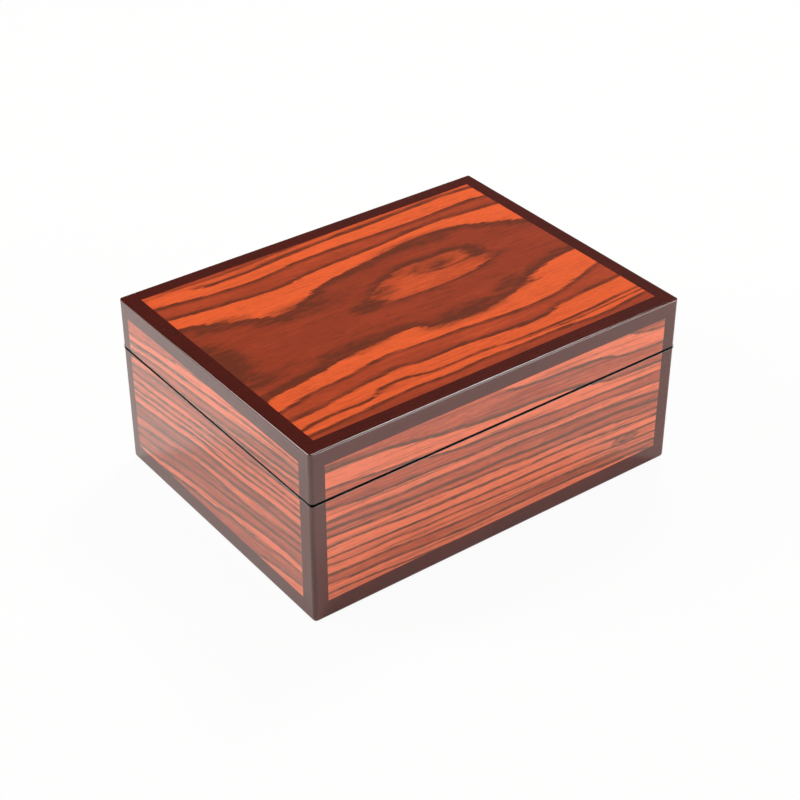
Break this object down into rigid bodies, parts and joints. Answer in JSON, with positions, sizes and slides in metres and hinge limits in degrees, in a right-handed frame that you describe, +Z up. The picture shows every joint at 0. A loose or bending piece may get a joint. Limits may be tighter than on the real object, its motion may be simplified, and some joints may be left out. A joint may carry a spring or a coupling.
{
  "type": "keepsake box",
  "caption": "Rectangular veneered keepsake box with a cloth-lined case and a lift-up lid on two stop hinges at the back long edge.",
  "frame": {"origin": "middle of the underside, on the surface that the box stands on", "axes": "+X along the long side, to the right as seen from the front; +Y towards the hinged back; +Z up"},
  "size_m": [0.203, 0.1574, 0.0884],
  "materials": {
    "dark_lacquer": "dark maroon stained board under clear high-gloss lacquer",
    "veneer": "orange-red figured wood veneer under clear high-gloss lacquer",
    "lining_cloth": "short-pile suede-like lining cloth",
    "felt": "dark felt",
    "brass": "polished brass"
  },
  "bodies": {
    "root": {"case_bottom_board": "dark_lacquer", "case_front_wall": "dark_lacquer", "case_right_wall": "dark_lacquer", "case_back_wall": "dark_lacquer", "case_left_wall": "dark_lacquer", "case_front_veneer": "veneer", "case_right_veneer": "veneer", "case_back_veneer": "veneer", "case_left_veneer": "veneer", "case_front_lining": "lining_cloth", "case_right_lining": "lining_cloth", "case_back_lining": "lining_cloth", "case_left_lining": "lining_cloth", "case_floor_pad": "lining_cloth", "case_underside_felt": "felt", "hinge_left_lower_leaf": "brass", "hinge_left_pin": "brass", "hinge_left_lower_screw_1": "brass", "hinge_left_lower_screw_2": "brass", "hinge_right_lower_leaf": "brass", "hinge_right_pin": "brass", "hinge_right_lower_screw_1": "brass", "hinge_right_lower_screw_2": "brass"},
    "lid": {"lid_top_board": "dark_lacquer", "lid_front_wall": "dark_lacquer", "lid_right_wall": "dark_lacquer", "lid_back_wall": "dark_lacquer", "lid_left_wall": "dark_lacquer", "lid_top_veneer": "veneer", "lid_front_veneer": "veneer", "lid_right_veneer": "veneer", "lid_back_veneer": "veneer", "lid_left_veneer": "veneer", "lid_front_lining": "lining_cloth", "lid_right_lining": "lining_cloth", "lid_back_lining": "lining_cloth", "lid_left_lining": "lining_cloth", "lid_pad": "lining_cloth", "hinge_left_upper_leaf": "brass", "hinge_left_upper_screw_1": "brass", "hinge_left_upper_screw_2": "brass", "hinge_right_upper_leaf": "brass", "hinge_right_upper_screw_1": "brass", "hinge_right_upper_screw_2": "brass"}
  },
  "joints": [
    {"name": "lid_hinge", "type": "hinge", "parent": "root", "child": "lid", "pos_m": [0, 0.0779, 0.0628], "axis": [-1, 0, 0], "range_deg": [0, 95]}
  ]
}
